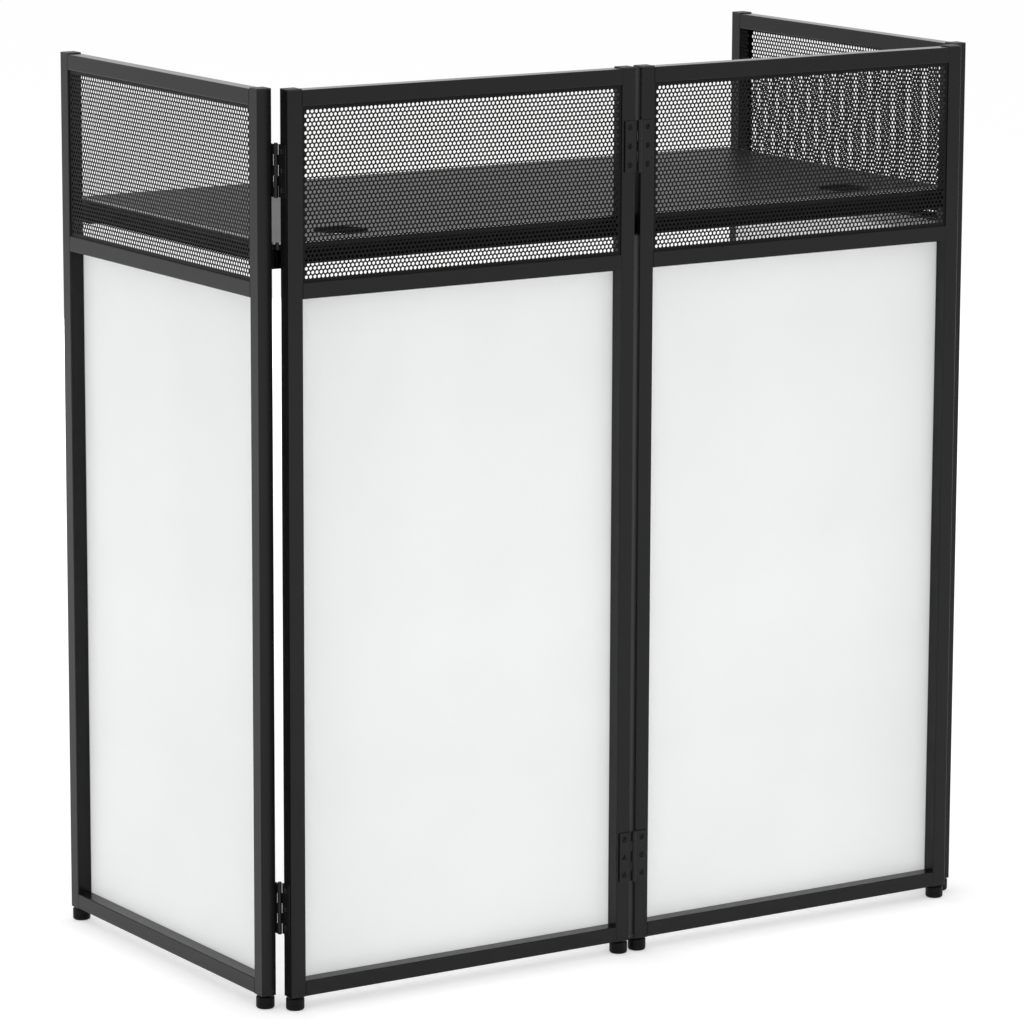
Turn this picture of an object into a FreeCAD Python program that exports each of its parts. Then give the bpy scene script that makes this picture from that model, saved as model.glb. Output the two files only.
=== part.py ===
"""Folding four-panel booth for a disc jockey: two front panels, two wings and a lift-off table.

Millimetres, +Z up, +X to the right along the front, front faces towards -Y.
The origin lies on the floor under the middle of the whole booth.
"""
import FreeCAD
import Part
import math
import os

# Square tube frames, all four panels alike
panel_width = 500.0
post_length = 1120.0
tube_size = 20.0
tube_wall = 1.5
tube_corner_radius = 1.5
upper_window_height = 212.0

# Spaces between neighbouring panels
centre_gap = 8.5
corner_gap_across = 7.4
corner_gap_back = 6.0

# Perforated steel sheet in each upper window
sheet_thickness = 0.6
sheet_setback = 2.0
hole_pitch = 20.0
hole_diameter = 15.0
hole_margin = 6.0

# White stretch scrim on the inside of each lower window
scrim_thickness = 1.0
scrim_leaf_clearance = 0.5
scrim_top_lap = 18.0
scrim_bottom_lap = 15.0

# Moulded end plugs: a cap on top of each post, a threaded socket below
cap_height = 1.6
cap_edge_radius = 0.8
plug_clearance = 0.2
cap_stem_length = 12.0
socket_length = 15.0

# Levelling feet
foot_base_radius = 11.5
foot_base_height = 15.0
foot_rim_radius = 3.0
foot_shoulder_radius = 1.5
foot_neck_radius = 6.0
foot_neck_height = 2.0
stud_radius = 4.0
stud_length = 24.0
stud_clearance = 0.1

# Butt hinges, an upper and a lower one at each joint between panels
hinge_height = 64.0
knuckle_count = 5
knuckle_gap = 0.3
barrel_radius = 2.8
pin_radius = 1.5
pin_clearance = 0.05
pin_head_radius = 2.4
pin_head_height = 1.2
leaf_thickness = 2.0
leaf_reach = 16.5
centre_axis_forward = 3.0
upper_hinge_drop = 97.0
lower_hinge_rise = 111.0

# Countersunk hinge screws
screws_per_leaf = 3
screw_spacing = 23.5
screw_inset = 9.0
screw_head_radius = 3.6
screw_shank_radius = 1.9
screw_length = 6.0
screw_clearance = 0.1

# Lift-off table
table_height = 952.0
table_front_gap = 7.0
table_side_gap = 6.0
table_back_gap = 3.0
board_thickness = 9.0
board_corner_radius = 6.0
cable_hole_radius = 34.0
cable_hole_from_side = 124.0
cable_hole_from_front = 57.0
table_tube_height = 20.0
table_tube_width = 10.0
table_tube_wall = 1.2
table_tube_inset = 1.5

# Angle brackets inside the wings that carry the table
bracket_thickness = 2.5
ledge_past_tube = 4.0
bracket_leg = 20.0
bracket_width = 16.0
bracket_ledge_width = 36.0
bracket_scrim_clearance = 0.5

# How far cutters run past what they cut
overrun = 5.0

# Places that follow from the sizes above
post_bottom = foot_base_height + foot_neck_height
post_top = post_bottom + post_length
rail_length = panel_width - 2 * tube_size
scrim_side_lap = tube_size - leaf_reach - scrim_leaf_clearance
top_rail_bottom = post_top - tube_size
middle_rail_bottom = top_rail_bottom - upper_window_height - tube_size
front_end = centre_gap / 2 + panel_width
wing_inner_face = front_end + corner_gap_across
wing_front = tube_size + corner_gap_back
wing_back = wing_front + panel_width
upper_hinge_bottom = post_top - upper_hinge_drop - hinge_height / 2
lower_hinge_bottom = post_bottom + lower_hinge_rise - hinge_height / 2
hinge_bottoms = (upper_hinge_bottom, lower_hinge_bottom)
board_bottom = table_height - board_thickness
table_tube_bottom = board_bottom - table_tube_height
board_half_width = wing_inner_face - table_side_gap
table_front = tube_size + table_front_gap
table_back = wing_back - table_back_gap
bracket_ledge = table_side_gap + table_tube_inset + table_tube_width + ledge_past_tube
foot_overhang = max(foot_base_radius - tube_size / 2, 0)
booth_front = -max(centre_axis_forward + barrel_radius, foot_overhang)
booth_back = wing_back + foot_overhang
middle_y = (booth_front + booth_back) / 2

up = FreeCAD.Vector(0, 0, 1)
along_x = FreeCAD.Vector(1, 0, 0)
along_y = FreeCAD.Vector(0, 1, 0)
origin = FreeCAD.Vector(0, 0, 0)

nodes = {}


def box(x0, x1, y0, y1, z0, z1):
    """Block between two corners."""
    return Part.makeBox(x1 - x0, y1 - y0, z1 - z0, FreeCAD.Vector(x0, y0, z0))


def moved(shape, x, y, z):
    copy = shape.copy()
    copy.translate(FreeCAD.Vector(x, y, z))
    return copy


def turned(shape, degrees, axis=up):
    copy = shape.copy()
    copy.rotate(origin, axis, degrees)
    return copy


def mirrored(shape):
    """The same piece for the other side of the booth."""
    return shape.mirror(origin, along_x)


def upright_edges(shape):
    return [e for e in shape.Edges if abs(e.tangentAt(e.FirstParameter).z) > math.cos(math.radians(1))]


def square_tube(length):
    """Square tube standing on its end with one corner at the origin."""
    outer = box(0, tube_size, 0, tube_size, 0, length)
    outer = outer.makeFillet(tube_corner_radius, upright_edges(outer))
    inside = tube_size - tube_wall
    return outer.cut(box(tube_wall, inside, tube_wall, inside, -overrun, length + overrun))


def rail(bottom):
    """Square tube lying between the two posts of a panel."""
    lying = moved(turned(square_tube(rail_length), 90, along_y), 0, 0, tube_size)
    return moved(lying, tube_size, 0, bottom)


def perforated_sheet():
    """Sheet that fills the upper window, with staggered round holes, made as one holed face."""
    bottom = middle_rail_bottom + tube_size
    top = top_rail_bottom
    left = tube_size
    right = panel_width - tube_size
    corners = [(left, bottom), (right, bottom), (right, top), (left, top), (left, bottom)]
    wires = [Part.makePolygon([FreeCAD.Vector(x, sheet_setback, z) for x, z in corners])]
    radius = hole_diameter / 2
    row_step = hole_pitch * math.sin(math.radians(60))
    clear_height = top - bottom - 2 * hole_margin - hole_diameter
    clear_width = right - left - 2 * hole_margin - hole_diameter
    rows = int(clear_height / row_step) + 1
    columns = int(clear_width / hole_pitch) + 1
    first_z = (bottom + top) / 2 - (rows - 1) * row_step / 2
    for row in range(rows):
        in_row = columns - row % 2
        first_x = panel_width / 2 - (in_row - 1) * hole_pitch / 2
        for column in range(in_row):
            middle = FreeCAD.Vector(first_x + column * hole_pitch, sheet_setback, first_z + row * row_step)
            wires.append(Part.Wire([Part.makeCircle(radius, middle, along_y)]))
    return Part.Face(wires).extrude(along_y * sheet_thickness)


def scrim():
    """White sheet stretched over the inside of the lower window."""
    left = tube_size - scrim_side_lap
    bottom = post_bottom + tube_size - scrim_bottom_lap
    top = middle_rail_bottom + scrim_top_lap
    return box(left, panel_width - left, tube_size, tube_size + scrim_thickness, bottom, top)


def post_cap():
    """Cap on top of a post, with a stem inside the tube."""
    head = box(0, tube_size, 0, tube_size, post_top, post_top + cap_height)
    head = head.makeFillet(tube_corner_radius, upright_edges(head))
    rim = [e for e in head.Edges if e.BoundBox.ZMin > post_top + cap_height / 2]
    head = head.makeFillet(cap_edge_radius, rim)
    low = tube_wall + plug_clearance
    high = tube_size - low
    return head.fuse(box(low, high, low, high, post_top - cap_stem_length, post_top))


def foot_socket():
    """Plug in the lower end of a post, bored for the stud of the foot."""
    low = tube_wall + plug_clearance
    high = tube_size - low
    body = box(low, high, low, high, post_bottom, post_bottom + socket_length)
    middle = FreeCAD.Vector(tube_size / 2, tube_size / 2, post_bottom - overrun)
    return body.cut(Part.makeCylinder(stud_radius + stud_clearance, socket_length + 2 * overrun, middle))


def foot():
    """Levelling foot under the middle of a post."""
    base = Part.makeCylinder(foot_base_radius, foot_base_height)
    low_rim = [e for e in base.Edges if e.BoundBox.ZMax < foot_base_height / 2]
    base = base.makeFillet(foot_rim_radius, low_rim)
    high_rim = [e for e in base.Edges if e.BoundBox.ZMin > foot_base_height - foot_shoulder_radius]
    base = base.makeFillet(foot_shoulder_radius, high_rim)
    neck = Part.makeCylinder(foot_neck_radius, post_bottom)
    neck = neck.common(box(-tube_size, tube_size, -tube_size, tube_size, foot_base_height / 2, post_bottom))
    stud = Part.makeCylinder(stud_radius, stud_length + foot_base_height, FreeCAD.Vector(0, 0, foot_neck_height))
    return moved(base.fuse([neck, stud]).removeSplitter(), tube_size / 2, tube_size / 2, 0)


def knuckle_span(index):
    step = hinge_height / knuckle_count
    return index * step, (index + 1) * step


def leaf_screw_places(lead):
    """Distances along the leaf and up it of each screw."""
    first = hinge_height / 2 - (screws_per_leaf - 1) * screw_spacing / 2
    return [(-(lead + screw_inset), first + i * screw_spacing) for i in range(screws_per_leaf)]


def hinge_leaf(offset, lead, first_knuckle):
    """Leaf with its knuckles round the Z axis; its plate lies at +X, against a post, and runs to -Y."""
    plate = box(offset - leaf_thickness, offset, -(lead + leaf_reach), 0, 0, hinge_height)
    barrel = []
    for index in range(knuckle_count):
        z0, z1 = knuckle_span(index)
        if index % 2 == first_knuckle:
            z0 += knuckle_gap / 2 if index > 0 else 0
            z1 -= knuckle_gap / 2 if index < knuckle_count - 1 else 0
            barrel.append(Part.makeCylinder(barrel_radius, z1 - z0, FreeCAD.Vector(0, 0, z0)))
        else:
            z0 -= knuckle_gap / 2 if index > 0 else overrun
            z1 += knuckle_gap / 2 if index < knuckle_count - 1 else overrun
            reach = barrel_radius + knuckle_gap
            plate = plate.cut(box(-overrun, offset + overrun, -reach, overrun, z0, z1))
    leaf = plate.fuse(barrel).removeSplitter()
    bore = pin_radius + pin_clearance
    leaf = leaf.cut(Part.makeCylinder(bore, hinge_height + 2 * overrun, FreeCAD.Vector(0, 0, -overrun)))
    for y, z in leaf_screw_places(lead):
        seat = FreeCAD.Vector(offset - leaf_thickness, y, z)
        sink = Part.makeCone(screw_head_radius + screw_clearance, screw_shank_radius + screw_clearance,
                             leaf_thickness, seat, along_x)
        leaf = leaf.cut(sink)
    return leaf


def hinge_screws(offset, lead):
    """Countersunk screws of one leaf, as separate solids."""
    screws = []
    for y, z in leaf_screw_places(lead):
        seat = FreeCAD.Vector(offset - leaf_thickness, y, z)
        head = Part.makeCone(screw_head_radius, screw_shank_radius, leaf_thickness, seat, along_x)
        shank = Part.makeCylinder(screw_shank_radius, screw_length, FreeCAD.Vector(offset, y, z), along_x)
        screws.append(head.fuse(shank))
    return screws


def screw_holes(offset, lead):
    """Cutters for the screws of one leaf through the wall of its post."""
    radius = screw_shank_radius + screw_clearance
    depth = tube_size / 2
    return [Part.makeCylinder(radius, depth, FreeCAD.Vector(offset - leaf_thickness / 2, y, z), along_x)
            for y, z in leaf_screw_places(lead)]


def hinge_pin():
    """Pin through all knuckles, with a head at each end."""
    pin = Part.makeCylinder(pin_radius, hinge_height)
    low = Part.makeCylinder(pin_head_radius, pin_head_height, FreeCAD.Vector(0, 0, -pin_head_height))
    high = Part.makeCylinder(pin_head_radius, pin_head_height, FreeCAD.Vector(0, 0, hinge_height))
    return pin.fuse([low, high]).removeSplitter()


# Where the hinges sit: each entry turns a leaf made round the Z axis into its place
corner_offset = corner_gap_across / 2
corner_lead = corner_gap_back / 2
corner_axis = (-(front_end + corner_offset), tube_size + corner_lead)
centre_lead = centre_gap / 2


def at_left_corner(shape, bottom):
    return moved(shape, corner_axis[0], corner_axis[1], bottom)


def front_left_side(shape, bottom):
    return at_left_corner(shape, bottom)


def left_wing_side(shape, bottom):
    return at_left_corner(turned(shape, 180), bottom)


def front_right_side(shape, bottom):
    return mirrored(front_left_side(shape, bottom))


def right_wing_side(shape, bottom):
    return mirrored(left_wing_side(shape, bottom))


def centre_right_side(shape, bottom):
    return moved(turned(shape, 90), 0, -centre_axis_forward, bottom)


def centre_left_side(shape, bottom):
    return mirrored(centre_right_side(shape, bottom))


# Panels from left to right, as they are seen from outside with the booth opened out flat
panels = {
    "left_wing": (-90, (-(wing_inner_face + tube_size), wing_back), ("back", "front")),
    "front_left": (0, (-front_end, 0), ("corner", "centre")),
    "front_right": (0, (centre_gap / 2, 0), ("centre", "corner")),
    "right_wing": (90, (wing_inner_face + tube_size, wing_front), ("front", "back")),
}

# The leaves on each post: placing function, offset and lead of the hinge
corner_hinge = (corner_offset, corner_lead)
centre_hinge = (centre_axis_forward, centre_lead)
leaves_on_post = {
    "left_wing_front": [(left_wing_side, corner_hinge)],
    "front_left_corner": [(front_left_side, corner_hinge)],
    "front_left_centre": [(centre_left_side, centre_hinge)],
    "front_right_centre": [(centre_right_side, centre_hinge)],
    "front_right_corner": [(front_right_side, corner_hinge)],
    "right_wing_front": [(right_wing_side, corner_hinge)],
}


def add_panel(name):
    angle, (x, y), sides = panels[name]

    def placed(shape):
        return moved(turned(shape, angle), x, y, 0)

    plugs = []
    for side, across in zip(sides, (0, panel_width - tube_size)):
        post = placed(moved(square_tube(post_length), across, 0, post_bottom))
        for place, (offset, lead) in leaves_on_post.get(f"{name}_{side}", []):
            for bottom in hinge_bottoms:
                post = post.cut([place(hole, bottom) for hole in screw_holes(offset, lead)])
        nodes[f"{name}_{side}_post"] = post
        nodes[f"{name}_{side}_foot"] = placed(moved(foot(), across, 0, 0))
        plugs.append(placed(moved(post_cap(), across, 0, 0)))
        plugs.append(placed(moved(foot_socket(), across, 0, 0)))
    nodes[f"{name}_top_rail"] = placed(rail(top_rail_bottom))
    nodes[f"{name}_middle_rail"] = placed(rail(middle_rail_bottom))
    nodes[f"{name}_bottom_rail"] = placed(rail(post_bottom))
    nodes[f"{name}_perforated_sheet"] = placed(perforated_sheet())
    nodes[f"{name}_scrim"] = placed(scrim())
    nodes[f"{name}_post_plugs"] = Part.makeCompound(plugs)


for panel in panels:
    add_panel(panel)


def add_leaves(name, place, hinge, first_knuckle):
    offset, lead = hinge
    leaf = hinge_leaf(offset, lead, first_knuckle)
    nodes[name] = Part.makeCompound([place(leaf, bottom) for bottom in hinge_bottoms])


# Hinge leaves: the wing side of a corner has the outer knuckles, the front side those between
add_leaves("left_hinge_wing_leaves", left_wing_side, corner_hinge, 0)
add_leaves("left_hinge_front_leaves", front_left_side, corner_hinge, 1)
add_leaves("right_hinge_wing_leaves", right_wing_side, corner_hinge, 0)
add_leaves("right_hinge_front_leaves", front_right_side, corner_hinge, 1)
add_leaves("centre_hinge_left_leaves", centre_left_side, centre_hinge, 0)
add_leaves("centre_hinge_right_leaves", centre_right_side, centre_hinge, 1)

# Screws, one group for each panel
for panel in panels:
    group = []
    for side in panels[panel][2]:
        for place, (offset, lead) in leaves_on_post.get(f"{panel}_{side}", []):
            for bottom in hinge_bottoms:
                group.extend(place(screw, bottom) for screw in hinge_screws(offset, lead))
    nodes[f"{panel}_hinge_screws"] = Part.makeCompound(group)

# Pins of the left corner and the centre stay with the front left panel
left_pins = [front_left_side(hinge_pin(), bottom) for bottom in hinge_bottoms]
centre_pins = [centre_right_side(hinge_pin(), bottom) for bottom in hinge_bottoms]
right_pins = [front_right_side(hinge_pin(), bottom) for bottom in hinge_bottoms]
nodes["front_left_hinge_pins"] = Part.makeCompound(left_pins + centre_pins)
nodes["front_right_hinge_pins"] = Part.makeCompound(right_pins)

# Table board with a round cable hole near each front corner
board = box(-board_half_width, board_half_width, table_front, table_back, board_bottom, table_height)
board = board.makeFillet(board_corner_radius, upright_edges(board))
for hand in (-1, 1):
    middle = FreeCAD.Vector(hand * (board_half_width - cable_hole_from_side),
                            table_front + cable_hole_from_front, board_bottom - overrun)
    board = board.cut(Part.makeCylinder(cable_hole_radius, board_thickness + 2 * overrun, middle))
nodes["table_board"] = board


def table_tube(x0, x1, y0, y1):
    """Flat tube under the board, closed at its ends by the tubes that it meets."""
    z0 = table_tube_bottom
    wall = table_tube_wall
    solid = box(x0, x1, y0, y1, z0, board_bottom)
    if x1 - x0 > y1 - y0:
        hollow = box(x0 - overrun, x1 + overrun, y0 + wall, y1 - wall, z0 + wall, board_bottom - wall)
    else:
        hollow = box(x0 + wall, x1 - wall, y0 - overrun, y1 + overrun, z0 + wall, board_bottom - wall)
    return solid.cut(hollow)


# Tubes under the board: the long ones run between the side ones
frame_half = board_half_width - table_tube_inset
frame_front = table_front + table_tube_inset
frame_back = table_back - table_tube_inset
side_inner = frame_half - table_tube_width
nodes["table_left_tube"] = table_tube(-frame_half, -side_inner, frame_front, frame_back)
nodes["table_right_tube"] = table_tube(side_inner, frame_half, frame_front, frame_back)
nodes["table_front_tube"] = table_tube(-side_inner, side_inner, frame_front, frame_front + table_tube_width)
nodes["table_back_tube"] = table_tube(-side_inner, side_inner, frame_back - table_tube_width, frame_back)


def left_bracket(post_y, towards):
    """Angle bracket on the inside of a left wing post, clear of the scrim; its ledge reaches under the side tube."""
    face = -wing_inner_face
    top = table_tube_bottom
    low = top - bracket_thickness
    beside_scrim = scrim_side_lap + bracket_scrim_clearance
    over_scrim = scrim_thickness + bracket_scrim_clearance
    if towards > 0:
        leg_y1 = post_y + tube_size - beside_scrim
        leg_y0 = leg_y1 - bracket_width
        y0, y1 = leg_y0, leg_y0 + bracket_ledge_width
    else:
        leg_y0 = post_y + beside_scrim
        leg_y1 = leg_y0 + bracket_width
        y0, y1 = leg_y1 - bracket_ledge_width, leg_y1
    leg = box(face, face + bracket_thickness, leg_y0, leg_y1, low, low + bracket_leg)
    ledge = box(face + over_scrim, face + bracket_ledge, y0, y1, low, top)
    return ledge.fuse(leg).removeSplitter()


# One bracket on each wing post, with its ledge towards the middle of the wing
left_brackets = [left_bracket(wing_front, 1), left_bracket(wing_back - tube_size, -1)]
nodes["left_wing_table_brackets"] = Part.makeCompound(left_brackets)
nodes["right_wing_table_brackets"] = Part.makeCompound([mirrored(b) for b in left_brackets])

os.makedirs("parts", exist_ok=True)
for node, shape in nodes.items():
    final = moved(shape, 0, -middle_y, 0)
    final.exportStep(os.path.join("parts", node + ".step"))
print(len(nodes), "nodes, middle_y", round(middle_y, 3))
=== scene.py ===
"""Looks of a folding four-panel booth for a disc jockey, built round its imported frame.

Metres, +Z up, the front faces towards -Y. Sizes of pieces are written in millimetres times MM.
"""
import math

import bpy
import numpy as np
from mathutils import Matrix, Vector


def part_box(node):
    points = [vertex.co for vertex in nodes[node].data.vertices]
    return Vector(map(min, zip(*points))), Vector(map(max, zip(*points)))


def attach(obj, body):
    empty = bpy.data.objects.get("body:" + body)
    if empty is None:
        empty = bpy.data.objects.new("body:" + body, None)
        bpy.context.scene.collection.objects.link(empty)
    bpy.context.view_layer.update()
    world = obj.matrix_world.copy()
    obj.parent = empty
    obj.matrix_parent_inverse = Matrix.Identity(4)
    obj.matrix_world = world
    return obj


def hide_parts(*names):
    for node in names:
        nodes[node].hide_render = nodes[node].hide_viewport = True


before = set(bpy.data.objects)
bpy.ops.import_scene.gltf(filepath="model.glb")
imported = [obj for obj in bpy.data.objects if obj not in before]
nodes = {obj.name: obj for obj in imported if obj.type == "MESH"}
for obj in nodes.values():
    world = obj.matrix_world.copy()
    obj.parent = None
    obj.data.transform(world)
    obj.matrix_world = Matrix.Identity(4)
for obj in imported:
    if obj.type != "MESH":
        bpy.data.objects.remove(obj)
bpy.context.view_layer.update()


# Welded frames: two posts and three rails of 20 mm square steel tube in each panel.
# The tube is blasted, sprayed with black powder and baked, so it has a satin skin
# with a faint orange peel and no bare metal.
MM = 0.001
# Sockets of a node that mixes two colours: how much of the second, the first, the second, and the output.
MIX_SHARE, MIX_FIRST, MIX_SECOND, MIX_COLOUR = 0, 6, 7, 2
peel_width = 2.4 * MM
peel_height = 0.03 * MM
cloud_width = 70 * MM


def linear(colour):
    """sRGB hex to the linear RGBA that a shader takes."""
    parts = [int(colour[i:i + 2], 16) / 255 for i in (1, 3, 5)]
    return tuple(c / 12.92 if c <= 0.04045 else ((c + 0.055) / 1.055) ** 2.4 for c in parts) + (1.0,)


def add_node(tree, kind, sockets=None, **settings):
    """Adds a node with its settings; a socket gets a value, or a link from another node's output."""
    made = tree.nodes.new(kind)
    for name, value in settings.items():
        setattr(made, name, value)
    for name, value in (sockets or {}).items():
        if isinstance(value, bpy.types.NodeSocket):
            tree.links.new(value, made.inputs[name])
        else:
            made.inputs[name].default_value = value
    return made


def new_material(name):
    """An empty node material."""
    material = bpy.data.materials.new(name)
    material.use_nodes = True
    material.node_tree.nodes.clear()
    return material, material.node_tree


def dress(material, *objects):
    """Gives each object this one material."""
    for obj in objects:
        obj.data.materials.clear()
        obj.data.materials.append(material)


# Polyester powder coat on steel, sprayed and baked: deep black, satin, with a soft broad sheen
# that turns pale at a low angle. The peel is 1 mm wide on the real tube and drawn at 2.4 mm to show.
powder_coat, tree = new_material("black_powder_coat_on_steel_tube")
place = add_node(tree, "ShaderNodeTexCoord").outputs["Object"]
peel = add_node(tree, "ShaderNodeTexNoise", {"Vector": place, "Scale": 1 / peel_width, "Detail": 2.0})
clouds = add_node(tree, "ShaderNodeTexNoise", {"Vector": place, "Scale": 1 / cloud_width, "Detail": 3.0})
tone = add_node(tree, "ShaderNodeMix", {
    MIX_SHARE: clouds.outputs["Fac"], MIX_FIRST: linear("#0b0b0b"), MIX_SECOND: linear("#0f0f0f")},
    data_type="RGBA")
gloss = add_node(tree, "ShaderNodeMapRange", {"Value": clouds.outputs["Fac"], "To Min": 0.18, "To Max": 0.26})
skin = add_node(tree, "ShaderNodeBump", {
    "Height": peel.outputs["Fac"], "Strength": 0.12, "Distance": peel_height})
coat = add_node(tree, "ShaderNodeBsdfPrincipled", {
    "Base Color": tone.outputs[MIX_COLOUR], "Roughness": gloss.outputs["Result"],
    "Normal": skin.outputs["Normal"], "IOR": 1.5, "Specular IOR Level": 0.23})
add_node(tree, "ShaderNodeOutputMaterial", {"Surface": coat.outputs["BSDF"]})

for name, node in nodes.items():
    if name.endswith(("_post", "_rail")):
        dress(powder_coat, node)


# Moulded end plugs: a flat cap on top of each post and a threaded socket in its foot.
# Black nylon from the mould, matt, with the spark grain of the tool,
# which is 0.2 mm wide on the real plug and drawn at 1.2 mm to show.
panels = ("left_wing", "front_left", "front_right", "right_wing")
spark_width = 1.2 * MM
spark_height = 0.05 * MM

nylon, tree = new_material("black_moulded_nylon")
place = add_node(tree, "ShaderNodeTexCoord").outputs["Object"]
grain = add_node(tree, "ShaderNodeTexNoise", {"Vector": place, "Scale": 1 / spark_width, "Detail": 4.0})
gloss = add_node(tree, "ShaderNodeMapRange", {"Value": grain.outputs["Fac"], "To Min": 0.42, "To Max": 0.60})
skin = add_node(tree, "ShaderNodeBump", {
    "Height": grain.outputs["Fac"], "Strength": 0.4, "Distance": spark_height})
plastic = add_node(tree, "ShaderNodeBsdfPrincipled", {
    "Base Color": linear("#101011"), "Roughness": gloss.outputs["Result"],
    "Normal": skin.outputs["Normal"], "IOR": 1.5})
add_node(tree, "ShaderNodeOutputMaterial", {"Surface": plastic.outputs["BSDF"]})

for panel in panels:
    dress(nylon, nodes[f"{panel}_post_plugs"])


# Levelling feet: a round rubber pad moulded on a threaded stud that screws into the post.
# Black rubber with a dull bloom in soft patches, a little greyer where it is thick.
bloom_width = 6 * MM
bloom_height = 0.1 * MM

rubber, tree = new_material("black_moulded_rubber")
place = add_node(tree, "ShaderNodeTexCoord").outputs["Object"]
bloom = add_node(tree, "ShaderNodeTexNoise", {"Vector": place, "Scale": 1 / bloom_width, "Detail": 5.0})
tone = add_node(tree, "ShaderNodeMix", {
    MIX_SHARE: bloom.outputs["Fac"], MIX_FIRST: linear("#070707"), MIX_SECOND: linear("#0d0d0d")},
    data_type="RGBA")
skin = add_node(tree, "ShaderNodeBump", {
    "Height": bloom.outputs["Fac"], "Strength": 0.3, "Distance": bloom_height})
pad = add_node(tree, "ShaderNodeBsdfPrincipled", {
    "Base Color": tone.outputs[MIX_COLOUR], "Roughness": 0.5, "Normal": skin.outputs["Normal"],
    "IOR": 1.5, "Specular IOR Level": 0.12})
add_node(tree, "ShaderNodeOutputMaterial", {"Surface": pad.outputs["BSDF"]})

for name, node in nodes.items():
    if name.endswith("_foot"):
        dress(rubber, node)


# Perforated sheets: one in each upper window, set just behind the outer face and spot-welded round its rim.
# Steel sheet punched with 4.3 mm round holes in staggered rows, then powder-coated with the frame.
hole_pitch = 5.9 * MM
hole_radius = 2.15 * MM
hole_points = 12
least_margin = 2.0 * MM
corner_angles = (30, 90, 150, 210, 270, 330)
sheet_cloud_width = 45 * MM
window_low, window_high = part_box("front_left_perforated_sheet")
window_width = window_high.x - window_low.x
window_height = window_high.z - window_low.z
sheet_thickness = window_high.y - window_low.y


def punched_sheet():
    """Outer skin of the sheet: each hole lies in a six-sided cell, and the outermost cells run out to the rim."""
    corner = hole_pitch / math.sqrt(3)
    row_step = 1.5 * corner
    least_edge = least_margin + hole_radius
    columns = int((window_width - 2 * least_edge) / hole_pitch) + 1
    rows = int((window_height - 2 * least_edge) / row_step) + 1
    first_x = (window_width - (columns - 1) * hole_pitch) / 2
    first_z = (window_height - (rows - 1) * row_step) / 2
    sides = len(corner_angles)
    places, found, faces = [], {}, []

    def rim_point(x, z, angle, row, column, last):
        """A cell's corner, counted in half pitches and half corners so that neighbours share it."""
        px = x + corner * math.cos(math.radians(angle))
        pz = z + corner * math.sin(math.radians(angle))
        key = (round(2 * (px - first_x) / hole_pitch), round(2 * (pz - first_z) / corner))
        if key not in found:
            upper = row == rows - 1 and angle in (30, 90, 150)
            lower = row == 0 and angle in (210, 270, 330)
            if upper or lower:
                pz = window_height if upper else 0.0
                px = 0.0 if column == 0 and angle in (150, 210) else px
                px = window_width if column == last and angle in (30, 330) else px
            elif key[0] <= 0:
                px = 0.0
            elif key[0] >= 2 * (columns - 1):
                px = window_width
            found[key] = len(places)
            places.append((px, 0.0, pz))
        return found[key]

    for row in range(rows):
        shift = row % 2
        last = columns - 1 - shift
        for column in range(last + 1):
            x = first_x + (column + shift / 2) * hole_pitch
            z = first_z + row * row_step
            hole = len(places)
            for step in range(hole_points):
                a = math.tau * step / hole_points
                places.append((x + hole_radius * math.cos(a), 0.0, z + hole_radius * math.sin(a)))
            rim = [rim_point(x, z, angle, row, column, last) for angle in corner_angles]
            for side in range(sides):
                first, middle, end = (hole + (2 * side + k) % hole_points for k in (1, 2, 3))
                near, far = rim[side], rim[(side + 1) % sides]
                faces += [(first, near, middle), (near, far, middle), (far, end, middle)]
    mesh = bpy.data.meshes.new("punched_sheet")
    mesh.from_pydata(places, [], faces)
    mesh.validate()
    return mesh


def panel_place(node, panel):
    """Where a sheet drawn with its outer face at Y 0, left edge at X 0 and foot at Z 0 stands in its panel."""
    low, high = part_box(node)
    if panel == "left_wing":
        return Matrix.Translation((low.x, high.y, low.z)) @ Matrix.Rotation(math.radians(-90), 4, "Z")
    if panel == "right_wing":
        return Matrix.Translation((high.x, low.y, low.z)) @ Matrix.Rotation(math.radians(90), 4, "Z")
    return Matrix.Translation(low)


def add_piece(name, mesh, body, matrix=None):
    """Puts a mesh in the scene as a piece that moves with a body."""
    piece = bpy.data.objects.new(name, mesh)
    bpy.context.scene.collection.objects.link(piece)
    if matrix is not None:
        piece.matrix_world = matrix
    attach(piece, body)
    return piece


# Powder coat on punched steel: as the tube's, but thinner and drier, so duller.
sheet_coat, tree = new_material("black_powder_coat_on_punched_steel")
place = add_node(tree, "ShaderNodeTexCoord").outputs["Object"]
clouds = add_node(tree, "ShaderNodeTexNoise", {"Vector": place, "Scale": 1 / sheet_cloud_width, "Detail": 2.0})
tone = add_node(tree, "ShaderNodeMix", {
    MIX_SHARE: clouds.outputs["Fac"], MIX_FIRST: linear("#080808"), MIX_SECOND: linear("#0c0c0c")},
    data_type="RGBA")
gloss = add_node(tree, "ShaderNodeMapRange", {"Value": clouds.outputs["Fac"], "To Min": 0.45, "To Max": 0.55})
coat = add_node(tree, "ShaderNodeBsdfPrincipled", {
    "Base Color": tone.outputs[MIX_COLOUR], "Roughness": gloss.outputs["Result"],
    "IOR": 1.5, "Specular IOR Level": 0.14})
add_node(tree, "ShaderNodeOutputMaterial", {"Surface": coat.outputs["BSDF"]})

sheet_mesh = punched_sheet()
sheet_mesh.materials.append(sheet_coat)
for panel in panels:
    node = f"{panel}_perforated_sheet"
    piece = add_piece(f"{panel}_punched_sheet", sheet_mesh, panel, panel_place(node, panel))
    thick = piece.modifiers.new("thickness", "SOLIDIFY")
    thick.thickness = sheet_thickness
    thick.offset = -1.0
    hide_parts(node)


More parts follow.
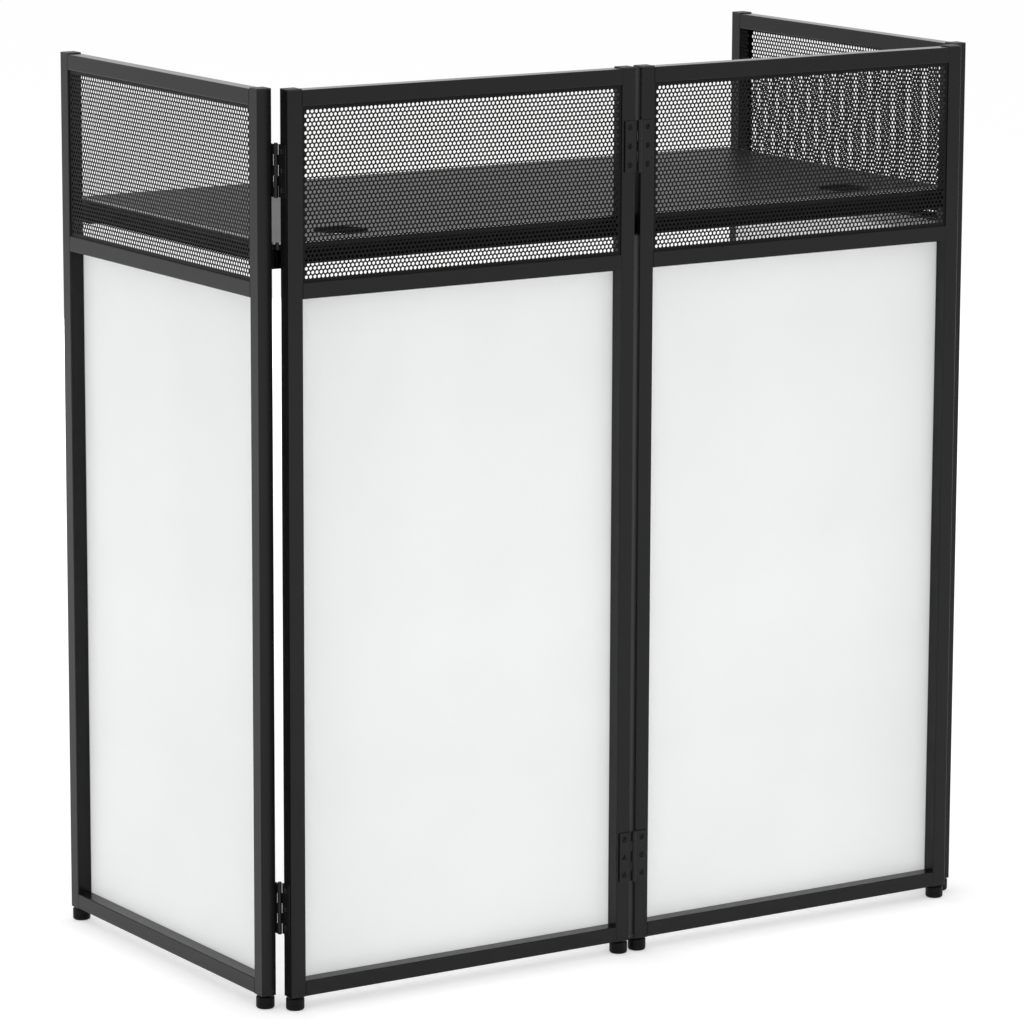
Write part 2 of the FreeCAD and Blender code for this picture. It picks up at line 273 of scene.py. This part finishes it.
# Scrims: white stretch cloth pulled flat over the inside of each lower window.
# Knitted polyester with a 14 mm hem all round, folded to the inside and sewn with one row of stitches.
cloth_thickness = 0.5 * MM
cloth_cell = 22 * MM
hem_width = 14 * MM
hem_thickness = 1.0 * MM
hem_fold = 0.6 * MM
hem_slope = 0.5 * MM
ripple_height = 0.22 * MM
ripple_start = 24 * MM
ripple_run = 60 * MM
stitch_pitch = 4.0 * MM
stitch_length = 3.0 * MM
stitch_width = 0.6 * MM
stitch_inset = 3 * MM
stitch_sink = 0.1 * MM
stitch_rise = 0.18 * MM
scrim_low, scrim_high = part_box("front_left_scrim")
scrim_width = scrim_high.x - scrim_low.x
scrim_height = scrim_high.z - scrim_low.z


def edge_steps(length):
    """Places across the cloth, with a close pair at each edge of the hem."""
    fold = [0.0, hem_fold, hem_width - hem_slope, hem_width]
    count = round((length - 2 * hem_width) / cloth_cell)
    middle = [hem_width + (length - 2 * hem_width) * i / count for i in range(1, count)]
    return fold + middle + [length - s for s in reversed(fold)]


def ripple(u, v, inset):
    """How far the cloth lies off the flat: faint crossed waves, 0.3 to 0.7 m long, that die out at the edges."""
    slack = min(1.0, max(0.0, (inset - ripple_start) / ripple_run))
    wave = math.sin(u * 21 + 3 * v) * math.sin(v * 9.0 + 0.7) + 0.6 * math.sin(v * 17 - u * 8)
    return ripple_height * slack * wave


def scrim_mesh():
    """Closed sheet with its outer face at Y 0; the hem stands proud on the inside."""
    us, vs = edge_steps(scrim_width), edge_steps(scrim_height)
    across, layer = len(us), len(us) * len(vs)
    places, faces = [], []
    for inside in (False, True):
        for v in vs:
            for u in us:
                inset = min(u, scrim_width - u, v, scrim_height - v)
                y = ripple(u, v, inset)
                if inside:
                    in_hem = hem_fold / 2 < inset < hem_width - hem_slope / 2
                    y += hem_thickness if in_hem else cloth_thickness
                places.append((u, y, v))
    for j in range(len(vs) - 1):
        for i in range(across - 1):
            a = j * across + i
            faces.append((a, a + 1, a + across + 1, a + across))
            faces.append((layer + a, layer + a + across, layer + a + across + 1, layer + a + 1))
    rim = list(range(across))
    rim += [j * across + across - 1 for j in range(1, len(vs))]
    rim += [(len(vs) - 1) * across + i for i in range(across - 2, -1, -1)]
    rim += [j * across for j in range(len(vs) - 2, 0, -1)]
    for i, a in enumerate(rim):
        b = rim[(i + 1) % len(rim)]
        faces.append((a, layer + a, layer + b, b))
    mesh = bpy.data.meshes.new("scrim_cloth")
    mesh.from_pydata(places, [], faces)
    mesh.shade_smooth()
    return mesh


def stitch_mesh():
    """Row of lock stitches along the hem, each a low lozenge on the cloth."""
    inset = hem_width - stitch_inset
    base, top = hem_thickness - stitch_sink, hem_thickness + stitch_rise
    places, faces = [], []

    def run(start, direction, length):
        side = Vector((-direction.z, 0, direction.x))
        for i in range(int(length / stitch_pitch)):
            middle = start + direction * (stitch_pitch * (i + 0.5))
            first = len(places)
            for along, off in ((-0.5, 0), (0, -0.5), (0.5, 0), (0, 0.5)):
                p = middle + direction * (along * stitch_length) + side * (off * stitch_width)
                places.append((p.x, base, p.z))
            places.append((middle.x, top, middle.z))
            faces.extend((first + k, first + 4, first + (k + 1) % 4) for k in range(4))
            faces.append((first, first + 1, first + 2, first + 3))

    x1, z1 = scrim_width - inset, scrim_height - inset
    along_x, along_z = Vector((1, 0, 0)), Vector((0, 0, 1))
    run(Vector((inset, 0, inset)), along_x, x1 - inset)
    run(Vector((inset, 0, z1)), along_x, x1 - inset)
    run(Vector((inset, 0, inset)), along_z, z1 - inset)
    run(Vector((x1, 0, inset)), along_z, z1 - inset)
    mesh = bpy.data.meshes.new("hem_stitches")
    mesh.from_pydata(places, [], faces)
    return mesh


# Knitted polyester, bleached and brushed: soft even white with a fine rib of loops, and it lets light through.
# The loops are 0.4 mm apart on the real cloth and drawn at 1.6 mm to show.
# A wave texture of scale 1 has 20 / tau bands in a metre.
loop_width = 1.6 * MM
loop_height = 0.15 * MM
loop_scale = math.tau / 20 / loop_width
drift_width = 160 * MM
light_through = 0.5

polyester, tree = new_material("white_knitted_polyester")
place = add_node(tree, "ShaderNodeTexCoord").outputs["Object"]
wales = add_node(tree, "ShaderNodeTexWave", {"Vector": place, "Scale": loop_scale}, bands_direction="X")
courses = add_node(tree, "ShaderNodeTexWave", {"Vector": place, "Scale": loop_scale, "Distortion": 0.6},
                   bands_direction="Z")
knit = add_node(tree, "ShaderNodeMath", {0: wales.outputs["Fac"], 1: courses.outputs["Fac"]},
                operation="MULTIPLY")
drift = add_node(tree, "ShaderNodeTexNoise", {"Vector": place, "Scale": 1 / drift_width, "Detail": 2.0})
tone = add_node(tree, "ShaderNodeMix", {
    MIX_SHARE: drift.outputs["Fac"], MIX_FIRST: linear("#f3f4f4"), MIX_SECOND: linear("#f8f8f8")},
    data_type="RGBA")
shade = add_node(tree, "ShaderNodeMapRange", {"Value": knit.outputs["Value"], "To Min": 0.965, "To Max": 1.0})
thread = add_node(tree, "ShaderNodeMix", {
    MIX_SHARE: 1.0, MIX_FIRST: tone.outputs[MIX_COLOUR], MIX_SECOND: shade.outputs["Result"]},
    data_type="RGBA", blend_type="MULTIPLY")
skin = add_node(tree, "ShaderNodeBump", {
    "Height": knit.outputs["Value"], "Strength": 0.12, "Distance": loop_height})
cloth = add_node(tree, "ShaderNodeBsdfPrincipled", {
    "Base Color": thread.outputs[MIX_COLOUR], "Roughness": 0.85, "Specular IOR Level": 0.2,
    "Sheen Weight": 0.12, "Sheen Roughness": 0.5, "Normal": skin.outputs["Normal"]})
glow = add_node(tree, "ShaderNodeBsdfTranslucent", {
    "Color": thread.outputs[MIX_COLOUR], "Normal": skin.outputs["Normal"]})
cloth = add_node(tree, "ShaderNodeMixShader", {
    0: light_through, 1: cloth.outputs["BSDF"], 2: glow.outputs["BSDF"]})
add_node(tree, "ShaderNodeOutputMaterial", {"Surface": cloth.outputs["Shader"]})

cloth_mesh, sewing_mesh = scrim_mesh(), stitch_mesh()
cloth_mesh.materials.append(polyester)
sewing_mesh.materials.append(polyester)
for panel in panels:
    node = f"{panel}_scrim"
    matrix = panel_place(node, panel)
    scrim = add_piece(f"{panel}_stretched_scrim", cloth_mesh, panel, matrix)
    stitches = add_piece(f"{panel}_scrim_stitches", sewing_mesh, panel, matrix)
    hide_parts(node)


# Butt hinges: pressed steel leaves rolled round a pin, two hinges at each joint between panels.
# They are powder-coated black, thin enough for the edges of the pressing to stay crisp.
# The coat's peel is 1 mm wide on the real leaf and drawn at 1.8 mm to show.
leaf_peel_width = 1.8 * MM
leaf_peel_height = 0.05 * MM

hinge_coat, tree = new_material("black_powder_coat_on_pressed_steel")
place = add_node(tree, "ShaderNodeTexCoord").outputs["Object"]
peel = add_node(tree, "ShaderNodeTexNoise", {"Vector": place, "Scale": 1 / leaf_peel_width, "Detail": 3.0})
tone = add_node(tree, "ShaderNodeMix", {
    MIX_SHARE: peel.outputs["Fac"], MIX_FIRST: linear("#0c0c0c"), MIX_SECOND: linear("#121212")},
    data_type="RGBA")
gloss = add_node(tree, "ShaderNodeMapRange", {"Value": peel.outputs["Fac"], "To Min": 0.20, "To Max": 0.30})
skin = add_node(tree, "ShaderNodeBump", {
    "Height": peel.outputs["Fac"], "Strength": 0.35, "Distance": leaf_peel_height})
coat = add_node(tree, "ShaderNodeBsdfPrincipled", {
    "Base Color": tone.outputs[MIX_COLOUR], "Roughness": gloss.outputs["Result"],
    "Normal": skin.outputs["Normal"], "IOR": 1.5, "Specular IOR Level": 0.24})
add_node(tree, "ShaderNodeOutputMaterial", {"Surface": coat.outputs["BSDF"]})

for name, node in nodes.items():
    if "hinge" in name and name.endswith(("_leaves", "_pins")):
        dress(hinge_coat, node)


# Hinge screws: countersunk steel screws with a hexagon socket, three in each leaf, driven just below its face.
# Blackened in a phosphate bath, so dark grey and dry; the sink and the socket show as dark rings and dots.
# The bath's crystals are far under 0.1 mm and drawn at 0.7 mm to show.
head_radius = 3.6 * MM
head_sink = 0.8 * MM
head_face_radius = 2.4 * MM
edge_round = 0.25 * MM
leaf_thickness = 2.0 * MM
shank_radius = 1.9 * MM
shank_end = 8.0 * MM
point_length = 1.2 * MM
point_radius = 0.95 * MM
socket_depth = 2.6 * MM
key_size = 3.0 * MM
ring_points = 24
crystal_width = 0.7 * MM


def screw_shape():
    """Corners and faces of a screw whose leaf has its face at Y 0; the shank runs to +Y."""
    angles = [math.tau * i / ring_points for i in range(ring_points)]
    hexagon = [key_size / 2 / math.cos(a % (math.pi / 3) - math.pi / 6) for a in angles]

    def ring(radii, depth):
        return [(r * math.cos(a), depth, r * math.sin(a)) for r, a in zip(radii, angles)]

    def circle(radius, depth):
        return ring([radius] * ring_points, depth)

    rings = [
        ring(hexagon, socket_depth),
        ring(hexagon, head_sink - edge_round),
        circle(head_face_radius - edge_round, head_sink - edge_round),
        circle(head_face_radius, head_sink),
        circle(shank_radius, leaf_thickness),
        circle(shank_radius, shank_end - point_length),
        circle(point_radius, shank_end),
    ]
    places = [p for r in rings for p in r]
    last = len(places) - ring_points
    faces = [tuple(range(ring_points)), tuple(reversed(range(last, len(places))))]
    for start in range(0, last, ring_points):
        for i in range(ring_points):
            a, b = start + i, start + (i + 1) % ring_points
            faces.append((a, a + ring_points, b + ring_points, b))
    return np.array(places), faces


def screw_places(corners):
    """Middle of each head's face and the way its shank runs, from the corners of a panel's group of screws."""
    apart, columns_apart, end_slice = 8 * MM, 60 * MM, 0.2 * MM
    found = []
    heights = sorted(set(np.round(corners[:, 2], 5)))
    rows = [[heights[0]]]
    for z in heights[1:]:
        if z - rows[-1][-1] > apart:
            rows.append([])
        rows[-1].append(z)
    for row in rows:
        level = corners[(corners[:, 2] > row[0] - MM) & (corners[:, 2] < row[-1] + MM)]
        columns = [level]
        x = level[:, 0]
        if np.ptp(x) > columns_apart:
            columns = [level[x < x.mean()], level[x > x.mean()]]
        for cloud in columns:
            low, high = cloud.min(0), cloud.max(0)
            shank_axis = int(np.argmax(np.abs((high - low)[:2] - 2 * head_radius)))
            along = cloud[:, shank_axis]
            low_end = cloud[along < low[shank_axis] + end_slice]
            high_end = cloud[along > high[shank_axis] - end_slice]
            head_is_low = np.ptp(low_end[:, 2]) > np.ptp(high_end[:, 2])
            middle, inward = (low + high) / 2, Vector((0, 0, 0))
            middle[shank_axis] = low[shank_axis] if head_is_low else high[shank_axis]
            inward[shank_axis] = 1.0 if head_is_low else -1.0
            found.append((middle, inward))
    return found


def screw_group(panel):
    """All the screws of a panel in one mesh, each put where the frame's own screw is."""
    corners = np.array([v.co for v in nodes[f"{panel}_hinge_screws"].data.vertices])
    shape, polygons = screw_shape()
    places, faces = [], []
    for middle, inward in screw_places(corners):
        across = Vector((0, 0, 1)).cross(inward)
        turn = np.array(Matrix((across, inward, (0, 0, 1))).transposed())
        first = len(places)
        places.extend(map(tuple, shape @ turn.T + np.array(middle)))
        faces.extend(tuple(first + i for i in p) for p in polygons)
    mesh = bpy.data.meshes.new(f"{panel}_screws")
    mesh.from_pydata(places, [], faces)
    mesh.materials.append(phosphate)
    return mesh


phosphate, tree = new_material("black_phosphated_steel")
place = add_node(tree, "ShaderNodeTexCoord").outputs["Object"]
crystal = add_node(tree, "ShaderNodeTexNoise", {"Vector": place, "Scale": 1 / crystal_width, "Detail": 3.0})
gloss = add_node(tree, "ShaderNodeMapRange", {"Value": crystal.outputs["Fac"], "To Min": 0.34, "To Max": 0.52})
steel = add_node(tree, "ShaderNodeBsdfPrincipled", {
    "Base Color": linear("#1a1a1b"), "Metallic": 0.2, "Roughness": gloss.outputs["Result"],
    "Specular IOR Level": 0.3})
add_node(tree, "ShaderNodeOutputMaterial", {"Surface": steel.outputs["BSDF"]})

for panel in panels:
    piece = add_piece(f"{panel}_socket_screws", screw_group(panel), panel)
    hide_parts(f"{panel}_hinge_screws")


# Table: a board faced with black laminate, on four flat steel tubes, lying on brackets in the wings.
# The laminate is pressed against brushed plates, so it is satin and turns pale at a low angle.
# The top 2.6 mm of the board's edge is coloured pale, which draws a thin light line round its top edge.
pale_band_depth = 2.6 * MM
rim_share = 0.4995  # how far from the middle, as a share of the board, its pale edge band starts
haze_width = 120 * MM
board_low, board_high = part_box("table_board")
board_thickness = board_high.z - board_low.z

laminate, tree = new_material("black_satin_laminate")
coordinates = add_node(tree, "ShaderNodeTexCoord")
haze = add_node(tree, "ShaderNodeTexNoise", {
    "Vector": coordinates.outputs["Object"], "Scale": 1 / haze_width, "Detail": 4.0})
gloss = add_node(tree, "ShaderNodeMapRange", {"Value": haze.outputs["Fac"], "To Min": 0.40, "To Max": 0.48})
centred = add_node(tree, "ShaderNodeVectorMath", {0: coordinates.outputs["Generated"], 1: (0.5, 0.5, 0.0)},
                   operation="SUBTRACT")
centred = add_node(tree, "ShaderNodeVectorMath", {0: centred.outputs["Vector"]}, operation="ABSOLUTE")
share = add_node(tree, "ShaderNodeSeparateXYZ", {"Vector": centred.outputs["Vector"]})
outer = add_node(tree, "ShaderNodeMath", {0: share.outputs["X"], 1: share.outputs["Y"]}, operation="MAXIMUM")
outer = add_node(tree, "ShaderNodeMath", {0: outer.outputs["Value"], 1: rim_share}, operation="GREATER_THAN")
upper = add_node(tree, "ShaderNodeMath", {0: share.outputs["Z"], 1: 1 - pale_band_depth / board_thickness},
                 operation="GREATER_THAN")
# Mask that is 1 on the top 2.6 mm of the board's edge all round; the next node colours it pale.
pale_edge_band = add_node(tree, "ShaderNodeMath", {0: outer.outputs["Value"], 1: upper.outputs["Value"]},
                operation="MULTIPLY")
tone = add_node(tree, "ShaderNodeMix", {
    MIX_SHARE: pale_edge_band.outputs["Value"], MIX_FIRST: linear("#0a0a0a"), MIX_SECOND: linear("#eceae6")},
    data_type="RGBA")
face = add_node(tree, "ShaderNodeBsdfPrincipled", {
    "Base Color": tone.outputs[MIX_COLOUR], "Roughness": gloss.outputs["Result"],
    "IOR": 1.5, "Specular IOR Level": 0.34})
add_node(tree, "ShaderNodeOutputMaterial", {"Surface": face.outputs["BSDF"]})
dress(laminate, nodes["table_board"])

# Matt powder coat on the flat tubes and the brackets: a dry black skin without shine.
# Its grain is 0.3 mm wide on the real tube and drawn at 1.6 mm to show.
grain_width = 1.6 * MM
grain_height = 0.05 * MM

matt_coat, tree = new_material("matt_black_powder_coat_on_flat_tube")
place = add_node(tree, "ShaderNodeTexCoord").outputs["Object"]
grain = add_node(tree, "ShaderNodeTexNoise", {"Vector": place, "Scale": 1 / grain_width, "Detail": 3.0})
skin = add_node(tree, "ShaderNodeBump", {
    "Height": grain.outputs["Fac"], "Strength": 0.3, "Distance": grain_height})
coat = add_node(tree, "ShaderNodeBsdfPrincipled", {
    "Base Color": linear("#080808"), "Roughness": 0.6, "Normal": skin.outputs["Normal"],
    "IOR": 1.5, "Specular IOR Level": 0.06})
add_node(tree, "ShaderNodeOutputMaterial", {"Surface": coat.outputs["BSDF"]})
for name in ("table_left_tube", "table_right_tube", "table_front_tube", "table_back_tube",
             "left_wing_table_brackets", "right_wing_table_brackets"):
    dress(matt_coat, nodes[name])


# Stage: a white paper floor that runs out of sight, white room light all round, and four wide soft boxes
# at the height of the booth, one towards each of its sides. The floor is lifted to white only where it is
# seen or mirrored, and the room gives the surfaces a little less light than it shows.
floor_reach = 60.0
floor_lift = 0.335
room_loss = 0.25
soft_box_height = 1.2
soft_boxes = (  # name, place, watts, width
    ("left_soft_box", (-6.0, 0.2, 0.9), 110, 4.0),
    ("right_soft_box", (6.0, 0.2, 0.9), 110, 4.0),
    ("front_soft_box", (-0.6, -5.8, 0.9), 95, 5.0),
    ("back_soft_box", (0.0, 4.8, 0.65), 110, 5.0),
)

floor_mesh = bpy.data.meshes.new("floor")
floor_mesh.from_pydata([(-floor_reach, -floor_reach, 0), (floor_reach, -floor_reach, 0),
                        (floor_reach, floor_reach, 0), (-floor_reach, floor_reach, 0)], [], [(0, 1, 2, 3)])
floor = bpy.data.objects.new("floor", floor_mesh)
bpy.context.scene.collection.objects.link(floor)
paper, tree = new_material("white_studio_paper")
rays = add_node(tree, "ShaderNodeLightPath").outputs
seen = add_node(tree, "ShaderNodeMath", {0: rays["Is Camera Ray"], 1: rays["Is Glossy Ray"]},
                operation="MAXIMUM")
seen = add_node(tree, "ShaderNodeMath", {0: seen.outputs["Value"], 1: rays["Is Transmission Ray"]},
                operation="MAXIMUM")
fill = add_node(tree, "ShaderNodeMath", {0: seen.outputs["Value"], 1: floor_lift}, operation="MULTIPLY")
matt = add_node(tree, "ShaderNodeBsdfDiffuse", {"Color": linear("#f0f0f0")})
glow = add_node(tree, "ShaderNodeEmission", {"Color": linear("#ffffff"), "Strength": fill.outputs["Value"]})
both = add_node(tree, "ShaderNodeAddShader", {0: matt.outputs["BSDF"], 1: glow.outputs["Emission"]})
add_node(tree, "ShaderNodeOutputMaterial", {"Surface": both.outputs["Shader"]})
dress(paper, floor)

world = bpy.data.worlds.new("white_room")
bpy.context.scene.world = world
world.use_nodes = True
tree = world.node_tree
tree.nodes.clear()
rays = add_node(tree, "ShaderNodeLightPath").outputs
strength = add_node(tree, "ShaderNodeMath", {0: rays["Is Diffuse Ray"], 1: -room_loss, 2: 1.0},
                    operation="MULTIPLY_ADD")
room = add_node(tree, "ShaderNodeBackground", {
    "Color": linear("#ffffff"), "Strength": strength.outputs["Value"]})
add_node(tree, "ShaderNodeOutputWorld", {"Surface": room.outputs["Background"]})

for name, spot, power, width in soft_boxes:
    lamp = bpy.data.lights.new(name, "AREA")
    lamp.shape = "RECTANGLE"
    lamp.energy = power
    lamp.size = width
    lamp.size_y = soft_box_height
    box = bpy.data.objects.new(name, lamp)
    bpy.context.scene.collection.objects.link(box)
    box.location = spot
    box.rotation_euler = (Vector((0, 0, spot[2])) - Vector(spot)).to_track_quat("-Z", "Y").to_euler()
    box.visible_camera = box.visible_glossy = False


# Camera: a long lens from the front left, a little above the booth, fitted to the photograph's straight edges.
# Its focal length was found in pixels of a picture 1024 wide.
sensor_width = 36.0
focal_pixels, picture_pixels = 5122, 1024
turn_right, tilt_down, roll = 32.822, 11.047, 0.209
camera_place = (-3.5687, -5.5066, 1.8133)
sight_reach = 200

camera_data = bpy.data.cameras.new("camera")
camera_data.sensor_width = sensor_width
camera_data.lens = focal_pixels * sensor_width / picture_pixels
camera_data.clip_end = sight_reach
camera = bpy.data.objects.new("camera", camera_data)
bpy.context.scene.collection.objects.link(camera)
turn = (Matrix.Rotation(math.radians(-turn_right), 4, "Z")
        @ Matrix.Rotation(math.radians(90 - tilt_down), 4, "X")
        @ Matrix.Rotation(math.radians(roll), 4, "Z"))
camera.matrix_world = Matrix.Translation(camera_place) @ turn
bpy.context.scene.camera = camera
bpy.context.scene.view_settings.view_transform = "Standard"
